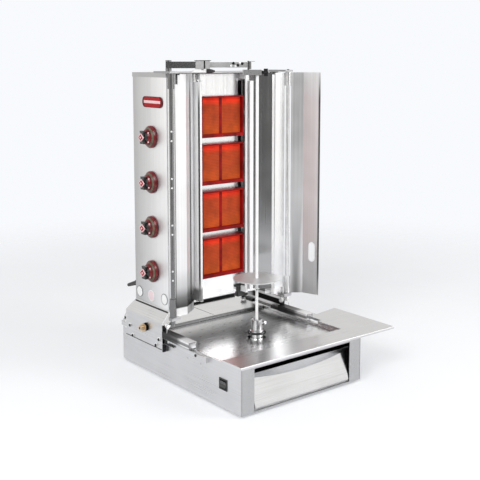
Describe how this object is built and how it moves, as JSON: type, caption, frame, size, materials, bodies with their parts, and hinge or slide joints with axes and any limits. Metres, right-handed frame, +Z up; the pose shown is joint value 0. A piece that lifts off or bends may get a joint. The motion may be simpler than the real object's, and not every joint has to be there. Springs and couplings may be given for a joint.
{
  "type": "doner kebab grill",
  "caption": "Gas doner kebab grill: burner tower with knobs and folding side wings on a sliding carriage, motor-driven spit with top arm, drip pan and grease drawer.",
  "frame": {"origin": "on the ground, under the middle of the base housing", "axes": "+Z up, -Y towards the front where the drawer opens, +X to the right of someone at the front"},
  "size_m": [0.701, 0.682, 1.0543],
  "materials": {
    "sheet_steel": "brushed stainless sheet",
    "polished_steel": "bright stainless sheet",
    "turned_steel": "turned stainless bar",
    "grey_paint": "satin paint",
    "bronze": "sintered bronze",
    "brass": "machined brass",
    "rubber": "matte",
    "black_plastic": "moulded",
    "red_plastic": "moulded, glossy",
    "red_enamel": "heat-proof enamel",
    "glowing_ceramic": "unglazed, glowing"
  },
  "bodies": {
    "base": {"base_housing": "sheet_steel", "base_floor": "sheet_steel", "feet": "rubber", "rear_deck": "sheet_steel", "drip_pan": "sheet_steel", "perforated_plate": "sheet_steel", "shelf_plate": "sheet_steel", "side_rails": "sheet_steel", "motor_bracket": "sheet_steel", "motor_gearbox": "grey_paint", "pan_collar": "sheet_steel", "lower_bearing": "bronze", "switch_bezel": "black_plastic", "drawer_guides": "sheet_steel", "cable_gland": "black_plastic"},
    "rocker": {"switch_rocker": "black_plastic"},
    "drawer": {"drawer_tray": "sheet_steel", "drawer_front": "polished_steel"},
    "spit": {"drive_shaft": "turned_steel", "drive_hub": "turned_steel", "spit_rod": "turned_steel", "meat_disc": "polished_steel"},
    "tower": {"tower_housing": "sheet_steel", "top_cap": "sheet_steel", "back_cover": "sheet_steel", "front_plate": "sheet_steel", "burner_bodies": "red_enamel", "ceramic_tiles": "glowing_ceramic", "burner_side_bars": "polished_steel", "side_rods": "turned_steel", "reflector_left": "polished_steel", "reflector_right": "polished_steel", "gas_valves": "brass", "gas_pipes": "turned_steel", "gas_inlet": "brass", "side_skirts": "sheet_steel", "sled_arms": "sheet_steel", "front_skirt": "sheet_steel", "glide_blocks": "black_plastic", "bracket_screws": "turned_steel", "hinge_rods": "turned_steel", "rod_brackets": "sheet_steel", "arm_post": "turned_steel", "rear_handle": "black_plastic"},
    "left_wing": {"wing_left": "polished_steel", "wing_knuckles_left": "turned_steel"},
    "right_wing": {"wing_right": "polished_steel", "wing_knuckles_right": "turned_steel"},
    "arm": {"arm_tube": "sheet_steel", "arm_clamp": "turned_steel"},
    "arm_slider": {"slider_tube": "sheet_steel", "bearing_block": "turned_steel"},
    "knob_1": {"knob_skirt_1": "red_plastic", "knob_grip_1": "black_plastic"},
    "knob_2": {"knob_skirt_2": "red_plastic", "knob_grip_2": "black_plastic"},
    "knob_3": {"knob_skirt_3": "red_plastic", "knob_grip_3": "black_plastic"},
    "knob_4": {"knob_skirt_4": "red_plastic", "knob_grip_4": "black_plastic"}
  },
  "joints": [
    {"name": "drawer_slide", "type": "slide", "parent": "base", "child": "drawer", "axis": [0, -1, 0], "range_m": [0, 0.3]},
    {"name": "rocker_tilt", "type": "hinge", "parent": "base", "child": "rocker", "pos_m": [-0.246, -0.2475, 0.083], "axis": [0, 1, 0], "range_deg": [-8, 8]},
    {"name": "spit_turn", "type": "hinge", "parent": "base", "child": "spit", "pos_m": [0, -0.102, 0.5], "axis": [0, 0, 1], "continuous": true},
    {"name": "tower_slide", "type": "slide", "parent": "base", "child": "tower", "axis": [0, 1, 0], "range_m": [-0.035, 0.035]},
    {"name": "wing_left_swing", "type": "hinge", "parent": "tower", "child": "left_wing", "pos_m": [-0.245, 0.027, 0.6], "axis": [0, 0, 1], "range_deg": [-143, 0]},
    {"name": "wing_right_swing", "type": "hinge", "parent": "tower", "child": "right_wing", "pos_m": [0.245, 0.027, 0.6], "axis": [0, 0, 1], "range_deg": [-143, 0]},
    {"name": "arm_swing", "type": "hinge", "parent": "tower", "child": "arm", "pos_m": [-0.238, 0.05, 1.04], "axis": [0, 0, 1], "range_deg": [-7, 7]},
    {"name": "arm_extend", "type": "slide", "parent": "arm", "child": "arm_slider", "axis": [0.8428, -0.5382, 0], "range_m": [-0.02, 0.02]},
    {"name": "knob_1_turn", "type": "hinge", "parent": "tower", "child": "knob_1", "pos_m": [-0.25, 0.16, 0.352], "axis": [-1, 0, 0], "range_deg": [0, 210]},
    {"name": "knob_2_turn", "type": "hinge", "parent": "tower", "child": "knob_2", "pos_m": [-0.25, 0.16, 0.5025], "axis": [-1, 0, 0], "range_deg": [0, 210]},
    {"name": "knob_3_turn", "type": "hinge", "parent": "tower", "child": "knob_3", "pos_m": [-0.25, 0.16, 0.653], "axis": [-1, 0, 0], "range_deg": [0, 210]},
    {"name": "knob_4_turn", "type": "hinge", "parent": "tower", "child": "knob_4", "pos_m": [-0.25, 0.16, 0.8035], "axis": [-1, 0, 0], "range_deg": [0, 210]}
  ],
  "couplings": [
    {"joint": "arm_swing", "follows": "tower_slide", "rad_per_m": -2.9844},
    {"joint": "arm_extend", "follows": "tower_slide", "ratio": 0.53825}
  ]
}
